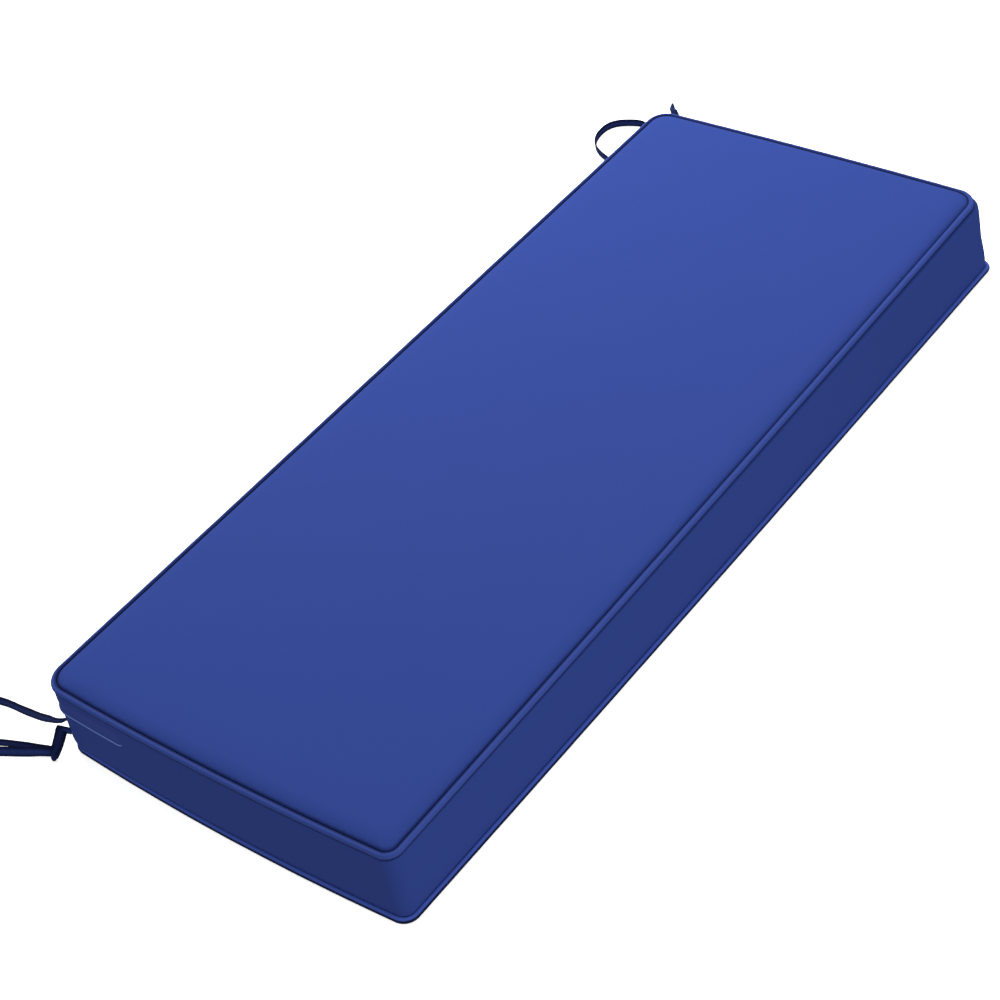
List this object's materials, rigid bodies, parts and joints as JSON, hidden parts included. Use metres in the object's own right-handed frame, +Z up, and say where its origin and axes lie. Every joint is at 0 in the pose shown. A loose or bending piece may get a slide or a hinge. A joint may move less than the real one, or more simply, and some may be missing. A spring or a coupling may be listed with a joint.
{
  "type": "bench cushion",
  "caption": "Boxed bench cushion, a flat filled rectangle with piped top and bottom edges, a zip flap round its rear and tape ties at the rear corners.",
  "frame": {"origin": "middle of the cushion's footprint, at its underside, without the ties", "axes": "+X along the length, +Y towards the rear side with the ties, +Z up out of the seat face"},
  "size_m": [1.5483, 0.7187, 0.12],
  "materials": {
    "cushion_cloth": "plain-woven outdoor polyester in royal blue, matt with a faint sheen",
    "piping_cloth": "the same royal blue cloth, cut on the bias and drawn tight over a cord",
    "tie_tape": "folded tape of the same cloth in dark navy, stitched along both edges"
  },
  "bodies": {
    "root": {"cushion_body": "cushion_cloth", "top_piping": "piping_cloth", "bottom_piping": "piping_cloth", "zip_flap": "cushion_cloth", "tie_left_single": "tie_tape", "tie_left_neck": "tie_tape", "knot_left": "tie_tape", "tie_left_back": "tie_tape", "tie_left_front": "tie_tape", "tie_right_loop": "tie_tape", "tie_right_strand": "tie_tape", "knot_right": "tie_tape", "tie_right_end": "tie_tape"}
  },
  "joints": []
}
